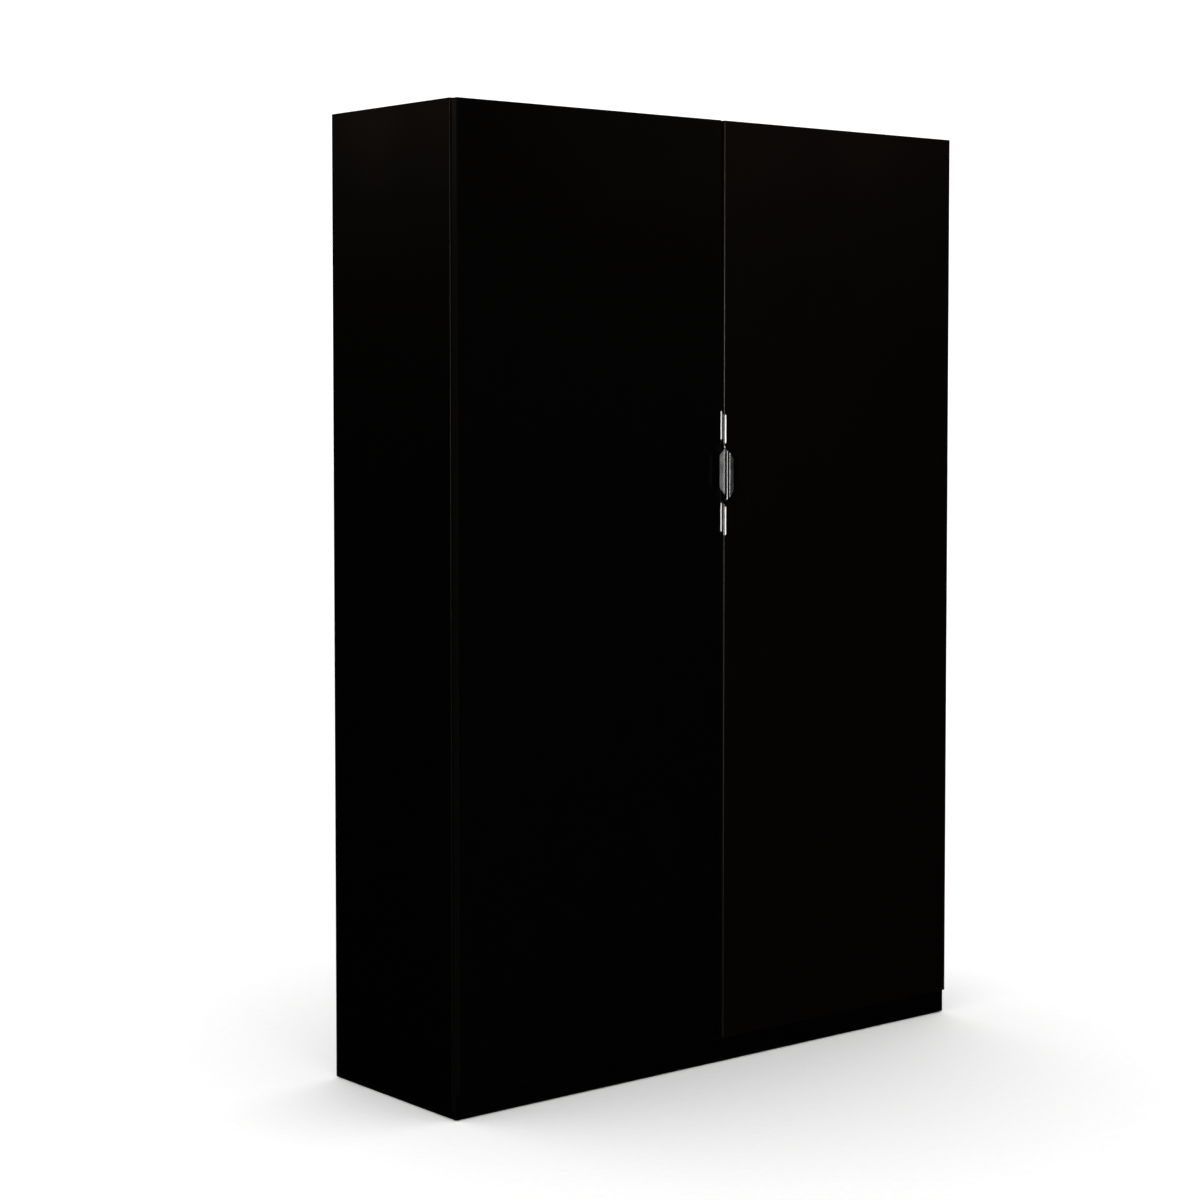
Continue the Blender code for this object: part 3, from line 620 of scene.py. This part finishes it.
def cutSheet(side):
    # the strip and its flange and tab, still without a thickness
    sign = signs[side]
    low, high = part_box(side + "_handle")
    doorLow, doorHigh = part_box(side + "_door")
    edgeX = doorLow.x if sign > 0 else doorHigh.x
    offset = handle["gap"] + handle["sheet"] / 2
    sheetX = edgeX - sign * offset
    frontY = doorLow.y - offset
    flangeX = edgeX + sign * handle["flange"]
    middleZ = (low.z + high.z) / 2
    half = (high.z - low.z) / 2
    root = handle["rootLength"] / 2

    def onFlangeRoot(edge):
        spot = middleOf(edge)
        return near(spot.y, frontY) and abs(spot.z - middleZ) > root + handle["relief"]

    def onTabRoot(edge):
        spot = middleOf(edge)
        return near(spot.y, frontY) and near(spot.z, middleZ)

    activate()
    bpy.ops.mesh.primitive_plane_add(size=1)
    piece = bpy.context.object
    piece.rotation_euler = (0, math.pi / 2, 0)
    piece.scale = (2 * half, high.y - frontY, 1)
    piece.location = (sheetX, (high.y + frontY) / 2, middleZ)
    settle(piece, side + "EdgeHandle")
    bpy.ops.object.mode_set(mode="EDIT")
    for height in (-root - handle["relief"], -root, root, root + handle["relief"]):
        bpy.ops.mesh.select_all(action="SELECT")
        bpy.ops.mesh.bisect(plane_co=(sheetX, 0, middleZ + height), plane_no=(0, 0, 1))
    selectParts(piece, "edges", onFlangeRoot)
    bpy.ops.mesh.extrude_edges_move(TRANSFORM_OT_translate={"value": (flangeX - sheetX, 0, 0)})
    selectParts(piece, "edges", onTabRoot)
    profile = tabProfile()
    steps = [math.dist(here, there) for here, there in zip(profile, profile[1:])]
    travelled, length = 0, handle["rootLength"]
    for step, (across, out), (lastAcross, lastOut) in zip(steps, profile[1:], profile):
        travelled += step
        share = travelled / sum(steps)
        nextLength = handle["rootLength"] + (handle["tipLength"] - handle["rootLength"]) * share
        move = (sign * (across - lastAcross), lastOut - out, 0)
        bpy.ops.mesh.extrude_edges_move(TRANSFORM_OT_translate={"value": move})
        bpy.ops.transform.resize(value=(1, 1, nextLength / length),
                                 center_override=(sheetX + sign * across, doorLow.y - out, middleZ))
        length = nextLength
    tipY = doorLow.y - profile[-1][1]

    def onOutlineCorner(vert):
        spot = vert.co
        onFlange = near(spot.x, flangeX) and near(spot.y, frontY)
        onTip = near(spot.y, tipY) and near(abs(spot.z - middleZ), handle["tipLength"] / 2)
        onBack = near(spot.y, high.y) and near(abs(spot.z - middleZ), half)
        return onFlange or onTip or onBack

    # fold of the flange, then the corners of the outline
    selectParts(piece, "edges", lambda edge: onFlangeRoot(edge) and near(middleOf(edge).x, sheetX))
    bpy.ops.mesh.bevel(offset=handle["foldRadius"], segments=4, affect="EDGES")
    selectParts(piece, "verts", onOutlineCorner)
    bpy.ops.mesh.bevel(offset=handle["cornerRadius"], segments=4, affect="VERTICES")
    bpy.ops.object.mode_set(mode="OBJECT")
    return piece


def thickenSheet(piece):
    thicken = piece.modifiers.new("sheet", "SOLIDIFY")
    thicken.thickness = handle["sheet"]
    thicken.offset = 0
    thicken.solidify_mode = "NON_MANIFOLD"
    thicken.nonmanifold_thickness_mode = "CONSTRAINTS"
    activate(piece)
    bpy.ops.object.modifier_apply(modifier=thicken.name)
    bpy.ops.object.mode_set(mode="EDIT")
    bpy.ops.mesh.select_all(action="SELECT")
    bpy.ops.mesh.normals_make_consistent(inside=False)
    bpy.ops.object.mode_set(mode="OBJECT")


def screwSinks(side):
    # cones that cut a countersunk hole round each screw
    sign = signs[side]
    sinks = []
    for spot in ("lower", "upper"):
        screwLow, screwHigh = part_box(f"{side}_{spot}_handle_screw")
        middle = (screwLow + screwHigh) / 2
        headX = screwLow.x if sign > 0 else screwHigh.x
        radius = (screwHigh.z - screwLow.z) / 2 + handle["sinkClearance"]
        activate()
        bpy.ops.mesh.primitive_cone_add(vertices=32, radius1=radius * handle["sinkMouth"],
                                        radius2=radius * handle["sinkFloor"], depth=handle["sinkDepth"],
                                        location=(headX + sign * handle["sinkIn"], middle.y, middle.z),
                                        rotation=(0, sign * math.pi / 2, 0))
        sinks.append(settle(bpy.context.object, "sink"))
    return sinks


def makeHandle(side):
    piece = cutSheet(side)
    thickenSheet(piece)
    cutAway(piece, screwSinks(side))
    softenEdges(piece, handle["rimRadius"])
    smooth(piece)
    coat(piece, "aluminium")
    place(piece, leaves[side], "handle_metal", [side + "_handle"])


for side in signs:
    makeHandle(side)
print("wardrobe: handles made")


# Screws: a copy of the solid with its cross recess

screws = {
    "slotWidth": 0.0008, "slotLength": 0.0034, "slotDepth": 0.0014, "headSides": 24,
    "headRounding": 0.45,      # in heights of the head
    "headSlot": 1.15,          # in radii of the head
}


def crossRecess(face, axis, length):
    # two thin blocks that cross at the middle of the head
    blocks = []
    along = "XYZ".index(axis)
    others = [i for i in range(3) if i != along]
    for long, short in (others, others[::-1]):
        low, high = Vector(face), Vector(face)
        low[along] -= screws["slotDepth"]
        high[along] += screws["slotDepth"]
        for index, size in ((long, length), (short, screws["slotWidth"])):
            low[index] -= size / 2
            high[index] += size / 2
        blocks.append(addBlock("slot", low, high))
    return blocks


for side, sign in signs.items():
    for spot in ("lower", "upper"):
        node = f"{side}_{spot}_handle_screw"
        low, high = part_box(node)
        piece = copyOfNode(node, f"{side}{spot.title()}HandleScrew")
        face = (low + high) / 2
        face.x = low.x if sign > 0 else high.x
        cutAway(piece, crossRecess(face, "X", screws["slotLength"]))
        smooth(piece)
        coat(piece, "nickel")
        place(piece, leaves[side], "hinge_steel", [node])
print("wardrobe: handle screws made")


# Hinges: pressed cup, arm and mounting plate, each with its screws

hinge = {
    "softEdge": 0.00035,
    "flangeScrewOffset": 0.024, "flangeScrewRadius": 0.0034,
    "flangeScrewHeight": 0.0008, "flangeScrewSunk": 0.0002,
    "armScrewShift": 0.004, "armScrewRadius": 0.003, "armScrewHeight": 0.0012,
    "plateScrewOffset": 0.01984, "plateScrewRadius": 0.0036,
    "plateScrewHeight": 0.0014, "plateScrewSeat": 0.0025,
}


def addScrewHead(middle, axis, sign, radius, height):
    spot = Vector(middle)
    index = "XYZ".index(axis)
    spot[index] += sign * height / 2
    head = addRound("head", radius, height, spot, axis, screws["headSides"])
    softenEdges(head, height * screws["headRounding"])
    face = Vector(middle)
    face[index] += sign * height
    cutAway(head, crossRecess(face, axis, radius * screws["headSlot"]))
    return head


def makeCup():
    node = "right_lowest_hinge_cup"
    low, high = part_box(node)
    middle = (low + high) / 2
    piece = copyOfNode(node, "cup")
    softenEdges(piece, hinge["softEdge"])
    heads = []
    for step in (-1, 1):
        z = middle.z + step * hinge["flangeScrewOffset"]
        spot = (middle.x, high.y - hinge["flangeScrewSunk"], z)
        heads.append(addScrewHead(spot, "Y", 1, hinge["flangeScrewRadius"], hinge["flangeScrewHeight"]))
    return join("cup", [piece] + heads)


def makeArm():
    node = "right_lowest_hinge_arm"
    low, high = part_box(node)
    middle = (low + high) / 2
    plateLow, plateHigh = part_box("right_lowest_hinge_plate")
    piece = copyOfNode(node, "arm")
    softenEdges(piece, hinge["softEdge"])
    # adjusting screws stand on the side that faces the middle of the bay
    heads = []
    shift = hinge["armScrewShift"]
    for y in (plateLow.y - shift, (plateLow.y + plateHigh.y) / 2 + shift):
        spot = (low.x, y, middle.z)
        heads.append(addScrewHead(spot, "X", -1, hinge["armScrewRadius"], hinge["armScrewHeight"]))
    return join("arm", [piece] + heads)


def makePlate():
    node = "right_lowest_hinge_plate"
    low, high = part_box(node)
    middle = (low + high) / 2
    piece = copyOfNode(node, "plate")
    softenEdges(piece, hinge["softEdge"])
    heads = []
    for step in (-1, 1):
        spot = (high.x - hinge["plateScrewSeat"], middle.y, middle.z + step * hinge["plateScrewOffset"])
        heads.append(addScrewHead(spot, "X", -1, hinge["plateScrewRadius"], hinge["plateScrewHeight"]))
    return join("plate", [piece] + heads)


def spreadHinges(maker, part, onDoor):
    # one is modelled at the right door's lowest hinge, the others are copies of it
    first = maker()
    smooth(first)
    coat(first, "nickel")
    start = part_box(f"right_lowest_hinge_{part}")[0].z
    for side in signs:
        for spot in hingePlaces:
            node = f"{side}_{spot}_hinge_{part}"
            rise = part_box(node)[0].z - start
            name = f"{side}{spot.title()}Hinge{part.title()}"
            piece = copyPiece(first, name, (0, 0, rise), side == "left")
            place(piece, leaves[side] if onDoor else carcass, "hinge_steel", [node])
    bpy.data.objects.remove(first, do_unlink=True)


spreadHinges(makeCup, "cup", True)
spreadHinges(makeArm, "arm", False)
spreadHinges(makePlate, "plate", False)
print("wardrobe: hinges made")


# Shelf pins: a round peg in the side, a flat spoon under the shelf

pins = {
    "clearance": 0.0001, "pegLength": 0.009, "pegSides": 20,
    "collarRadius": 0.0042, "collar": 0.0008, "collarSides": 24,
    "spoonStart": 0.0004, "spoonLength": 0.0095, "spoonWidth": 0.008, "spoonThickness": 0.0016,
    "spoonRounding": 0.0035, "softEdge": 0.0002,
}


def makePin():
    # the peg points to -X, the spoon to +X
    # the wall's face is at X = 0 and the shelf's underside at Z = 0
    pegRadius = pinHoles["diameter"] / 2 - pins["clearance"]
    pegMiddle = (-pins["pegLength"] / 2, 0, -pinHoles["diameter"] / 2)
    peg = addRound("peg", pegRadius, pins["pegLength"], pegMiddle, "X", pins["pegSides"])
    radius = pins["collarRadius"]
    collarMiddle = (pins["collar"] / 2, 0, -radius)
    collar = addRound("collar", radius, pins["collar"], collarMiddle, "X", pins["collarSides"])
    half = pins["spoonWidth"] / 2
    low = (pins["spoonStart"], -half, -pins["spoonThickness"])
    high = (pins["spoonLength"], half, 0)
    spoon = addBlock("spoon", low, high)
    activate(spoon)
    bpy.ops.object.mode_set(mode="EDIT")

    def isTipCorner(edge):
        start, end = edge.verts[0].co, edge.verts[1].co
        upright = not near(start.z, end.z)
        return upright and near(middleOf(edge).x, pins["spoonLength"])

    selectParts(spoon, "edges", isTipCorner)
    bpy.ops.mesh.bevel(offset=pins["spoonRounding"], segments=6, affect="EDGES")
    bpy.ops.object.mode_set(mode="OBJECT")
    for piece in (peg, collar, spoon):
        softenEdges(piece, pins["softEdge"])
    return join("pin", [peg, collar, spoon])


firstPin = makePin()
pinPieces = []
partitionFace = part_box("centre_partition")[1].x
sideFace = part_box("right_side_panel")[0].x
for number, (y, z) in enumerate(shelfPinRows(), 1):
    # z is the middle of the hole; the spoon's top is just under the shelf
    underside = z + pinHoles["diameter"] / 2 - pins["clearance"]
    pinPieces.append(copyPiece(firstPin, f"partitionShelfPin{number}",
                               (partitionFace + pins["clearance"], y, underside)))
    turned = copyPiece(firstPin, f"sideShelfPin{number}", mirrored=True)
    turned.data.transform(Matrix.Translation((sideFace - pins["clearance"], y, underside)))
    pinPieces.append(turned)
bpy.data.objects.remove(firstPin, do_unlink=True)
for piece in pinPieces:
    smooth(piece)
    coat(piece, "nickel")
    place(piece, carcass, "hinge_steel")


# Cover caps over the cam fittings that hold the fixed boards

caps = {
    "radius": 0.0085, "height": 0.0007, "rounding": 0.0005,
    "fromEnd": 0.034, "fromEdge": 0.055, "besidePartition": 0.043,
}


def makeCap():
    cap = addRound("cap", caps["radius"], caps["height"], (0, 0, -caps["height"] / 2))
    activate(cap)
    bpy.ops.object.mode_set(mode="EDIT")
    bpy.ops.mesh.select_mode(type="FACE")
    bm = bmesh.from_edit_mesh(cap.data)
    for face in bm.faces:
        face.select_set(face.normal.z < -0.9)      # the underside
    bmesh.update_edit_mesh(cap.data)
    bpy.ops.mesh.bevel(offset=caps["rounding"], segments=3, affect="EDGES")
    bpy.ops.object.mode_set(mode="OBJECT")
    smooth(cap)
    return cap


firstCap = makeCap()
capPieces = []
for node in ("top_panel", "hat_shelf", "right_shelf_2"):
    low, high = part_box(node)
    columns = [low.x + caps["fromEnd"], high.x - caps["fromEnd"]]
    if node == "top_panel":
        columns += [-caps["besidePartition"], caps["besidePartition"]]
    for x in columns:
        for y in (low.y + caps["fromEdge"], high.y - caps["fromEdge"]):
            capPieces.append(copyPiece(firstCap, "cap", (x, y, low.z)))
bpy.data.objects.remove(firstCap, do_unlink=True)
coverCaps = join("coverCaps", capPieces)
coat(coverCaps, "cap")
place(coverCaps, carcass, "board")
print("wardrobe: shelf pins and caps made")


# Hanging rail and its drop brackets

rail = {
    "softEdge": 0.0005, "screwRadius": 0.0034, "screwHeight": 0.0014,
    "screwOffset": 0.010, "screwFromWall": 0.018, "screwSeat": 0.003,
}


def makeBracket(which):
    node = which + "_rail_bracket"
    low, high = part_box(node)
    piece = copyOfNode(node, which + "RailBracket")
    softenEdges(piece, rail["softEdge"], 3)
    heads = []
    inward = 1 if which == "front" else -1
    wallY = low.y if which == "front" else high.y
    for step in (-1, 1):
        spot = ((low.x + high.x) / 2 + step * rail["screwOffset"],
                wallY + inward * rail["screwFromWall"], high.z - rail["screwSeat"])
        heads.append(addScrewHead(spot, "Z", -1, rail["screwRadius"], rail["screwHeight"]))
    piece = join(which + "RailBracket", [piece] + heads)
    smooth(piece)
    coat(piece, "chrome")
    place(piece, carcass, "rail_chrome", [node])


for which in ("front", "rear"):
    makeBracket(which)
print("wardrobe: rail made")


# CAD solids that stay as they are, with their own finish

def dress(node, finish):
    piece = frame["nodes"][node]
    coat(piece, finish)
    (metalPieces if finish == "chrome" else boardPieces).objects.link(piece)


dress("hanging_rail", "chrome")
for side in signs:
    for spot in ("lower", "upper"):
        dress(f"{side}_{spot}_bumper", "bumper")
for row in ("front", "rear"):
    for column in ("left", "middle", "right"):
        dress(f"{row}_{column}_foot", "foot")


# Studio: pale floor, soft lights, camera

insidePieces = (
    "left_side_panelBoard", "right_side_panelBoard", "centre_partitionBoard",
    "top_panelBoard", "bottom_panelBoard", "hat_shelfBoard",
    "right_shelf_1Board", "right_shelf_2Board", "right_shelf_3Board", "right_shelf_4Board",
    "leftBackBoard", "rightBackBoard", "coverCaps",
)
studio = {
    "floorSize": 60.0, "floorColours": ((0.35, "#fbfbfb"), (0.65, "#fdfdfc")), "fibreSize": 0.02,
    "floorRoughness": 0.9, "floorSpecular": 0.2, "worldColour": "#ffffff", "worldStrength": 1.25,
    "warm": "#ffe6cf", "amber": "#ffe9d6", "cream": "#fff4ea", "white": "#ffffff",
    "lamps": {
        # name: place, aimed at, width, height, watts, colour, what it shines on
        "leftSoftbox": ((-3.6, 4.9, 2.9), (-0.7, 0.1, 1.9), 0.8, 0.6, 2.0, "warm", "boards"),
        "rightSoftbox": ((4.1, -4.2, 3.0), (0.0, -0.2, 1.9), 0.8, 0.6, 2.2, "warm", "boards"),
        "gapUpper": ((-4.4, -2.6, 1.6), (0.0, -0.2, 1.5), 0.7, 0.5, 230, "amber", "rightDoor"),
        "gapLower": ((-4.4, -2.6, 0.5), (0.0, -0.2, 0.8), 0.7, 1.4, 80, "amber", "rightDoor"),
        "insideFront": ((0.3, -4.5, 1.7), (0.0, 0.0, 1.0), 2.4, 1.6, 500, "cream", "inside"),
        "insideLeftDoor": ((4.0, 0.9, 1.5), (-0.7, -0.6, 1.0), 2.0, 2.0, 400, "cream", "leftDoor"),
        "insideRightDoor": ((-4.0, 0.9, 1.5), (0.7, -0.6, 1.0), 2.0, 2.0, 400, "cream", "rightDoor"),
        "metalLeftBack": ((-3.6, 3.6, 1.1), (0.0, -0.2, 1.25), 2.0, 2.4, 30, "white", "metal"),
        "metalRightFront": ((3.42, -4.5, 1.1), (0.0, -0.2, 1.25), 0.7, 1.8, 17, "white", "metal"),
        "metalLeftSide": ((-5.0, -1.6, 1.6), (0.0, -0.2, 1.25), 1.6, 3.0, 48, "white", "metal"),
        "metalFront": ((1.9, -5.4, 1.1), (0.0, -0.2, 1.25), 1.4, 2.2, 1.4, "white", "metal"),
        "metalRightSide": ((5.0, 0.3, 1.6), (0.0, -0.2, 1.25), 2.4, 3.0, 60, "white", "metal"),
        "metalRightBack": ((3.6, 3.6, 2.4), (0.0, -0.1, 1.2), 2.6, 2.6, 20, "white", "metal"),
        "fittingsFront": ((0.0, -6.0, 1.6), (0.0, 0.0, 1.2), 5.0, 3.5, 80, "white", "fittings"),
        "fittingsRight": ((5.0, -1.2, 1.6), (0.0, 0.0, 1.2), 3.0, 3.0, 50, "white", "fittings"),
        "fittingsLeft": ((-5.0, -1.2, 1.6), (0.0, 0.0, 1.2), 3.0, 3.0, 50, "white", "fittings"),
        "metalAbove": ((0.0, -0.4, 5.0), (0.0, 0.0, 1.5), 3.0, 2.0, 36, "white", "metal"),
    },
    "camera": {
        "place": (-3.643, -4.222, 1.449), "tilt": 87.30, "turn": -39.49, "lens": 77.04,
        "sensor": 36, "shift": -0.08,
    },
}


def addFloor():
    activate()
    bpy.ops.mesh.primitive_plane_add(size=studio["floorSize"])
    floor = bpy.context.object
    floor.name = "floor"
    material, tree, shader, coordinates = newFinish("rolled studio paper")
    fibres = addNode(tree, "ShaderNodeTexNoise", {
        "Vector": coordinates, "Scale": 1 / studio["fibreSize"], "Detail": 3.0, "Roughness": noise["fine"]})
    stops = studio["floorColours"]
    setInputs(tree, shader, {
        "Base Color": addNode(tree, "ShaderNodeValToRGB", {"Fac": fibres}, stops=stops),
        "Roughness": studio["floorRoughness"],
        "Specular IOR Level": studio["floorSpecular"],
    })
    floor.data.materials.append(material)
    floor.visible_glossy = False


def litCollections():
    # which pieces each group of lamps shines on
    targets = {"metal": metalPieces, "boards": boardPieces}
    fittings = [piece.name for piece in metalPieces.objects if "EdgeHandle" not in piece.name]
    groups = {
        "leftDoor": ["leftDoor"], "rightDoor": ["rightDoor"],
        "inside": insidePieces, "fittings": fittings,
    }
    for group, names in groups.items():
        targets[group] = bpy.data.collections.new(group + "Lit")
        for piece in names:
            targets[group].objects.link(bpy.data.objects[piece])
    return targets


def addLamps():
    targets = litCollections()
    for name, (spot, target, width, height, watts, colour, only) in studio["lamps"].items():
        data = bpy.data.lights.new(name, "AREA")
        data.shape = "RECTANGLE"
        data.size = width
        data.size_y = height
        data.energy = watts
        data.color = hexColour(studio[colour])[:3]
        lamp = bpy.data.objects.new(name, data)
        bpy.context.scene.collection.objects.link(lamp)
        lamp.location = spot
        lamp.rotation_euler = (Vector(target) - Vector(spot)).to_track_quat("-Z", "Y").to_euler()
        lamp.light_linking.receiver_collection = targets[only]


def addWorld():
    world = bpy.data.worlds.new("studio")
    world.use_nodes = True
    background = world.node_tree.nodes["Background"]
    background.inputs["Color"].default_value = hexColour(studio["worldColour"])
    background.inputs["Strength"].default_value = studio["worldStrength"]
    bpy.context.scene.world = world
    world.cycles_visibility.glossy = False


def addCamera():
    settings = studio["camera"]
    data = bpy.data.cameras.new("camera")
    data.sensor_width = settings["sensor"]
    data.lens = settings["lens"]
    data.shift_y = settings["shift"]
    camera = bpy.data.objects.new("camera", data)
    camera.location = settings["place"]
    camera.rotation_euler = (math.radians(settings["tilt"]), 0, math.radians(settings["turn"]))
    bpy.context.scene.collection.objects.link(camera)
    bpy.context.scene.camera = camera


addFloor()
addLamps()
addWorld()
addCamera()
bpy.context.scene.view_settings.view_transform = "Standard"
print("wardrobe: studio made")
